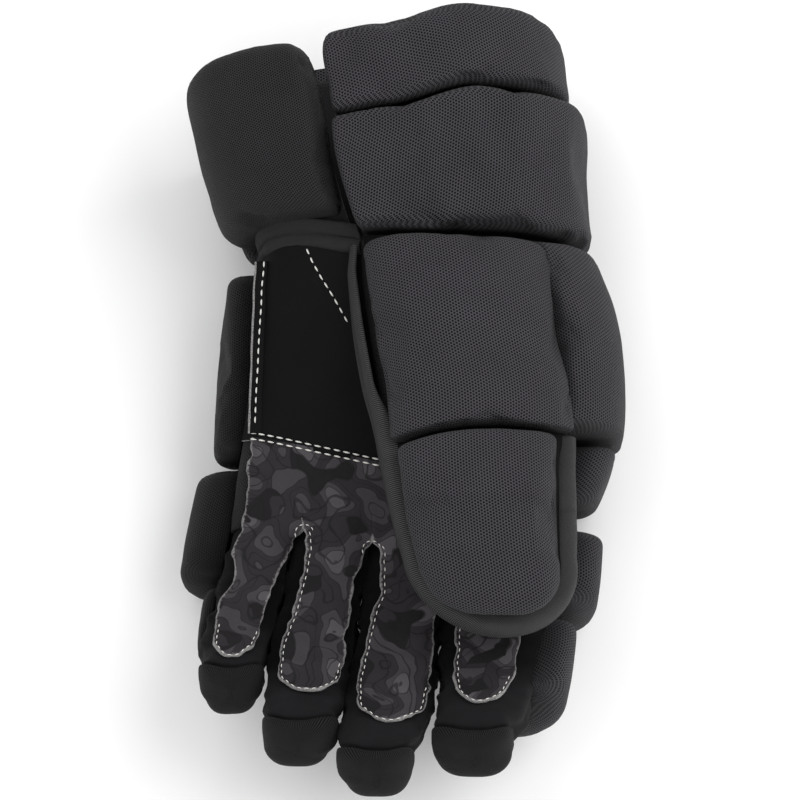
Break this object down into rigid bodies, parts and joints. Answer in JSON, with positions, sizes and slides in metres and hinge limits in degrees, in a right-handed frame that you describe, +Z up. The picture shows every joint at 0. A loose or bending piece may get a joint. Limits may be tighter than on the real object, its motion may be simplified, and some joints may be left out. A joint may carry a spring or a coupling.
{
  "type": "ice hockey glove",
  "caption": "Padded ice hockey glove for the left hand, palm side up: flared cuff rolls, overlapping wrist flap, stiff spade-shaped thumb and curled fingers with palm strips.",
  "frame": {"origin": "middle of the glove's bounding box in X and Y, on the surface it lies on", "axes": "+Y from the fingertips to the cuff's mouth; +Z up, the palm side facing up; +X to the thumb's side"},
  "size_m": [0.1954, 0.3532, 0.1239],
  "materials": {
    "nylon": "woven nylon",
    "knit": "stretch knit",
    "suede": "matt suede",
    "printed": "printed suede",
    "tape": "ribbed tape",
    "lining": "brushed knit"
  },
  "bodies": {
    "root": {"hand_liner": "knit", "wrist_hem": "tape", "palm_upper": "suede", "palm_lower": "printed", "back_roll_wrist": "nylon", "back_roll_middle": "nylon", "back_roll_knuckle": "nylon", "pinky_side_pad": "nylon", "thumb_side_pad": "nylon", "index_knuckle_pad": "nylon", "index_stall": "knit", "index_cap": "knit", "index_pad_proximal": "nylon", "index_pad_distal": "nylon", "middle_stall": "knit", "middle_cap": "knit", "middle_pad_proximal": "nylon", "middle_pad_distal": "nylon", "ring_stall": "knit", "ring_cap": "knit", "ring_pad_proximal": "nylon", "ring_pad_distal": "nylon", "pinky_stall": "knit", "pinky_cap": "knit", "pinky_pad_proximal": "nylon", "pinky_pad_distal": "nylon", "thumb_stall": "knit", "thumb_panel": "tape", "thumb_base_pad": "nylon", "thumb_tip_pad": "nylon", "thumb_binding": "tape", "thumb_palm": "suede", "cuff_lining": "lining", "cuff_main_roll": "nylon", "cuff_top_roll": "nylon", "cuff_flap": "nylon", "flap_lining": "lining"}
  },
  "joints": []
}
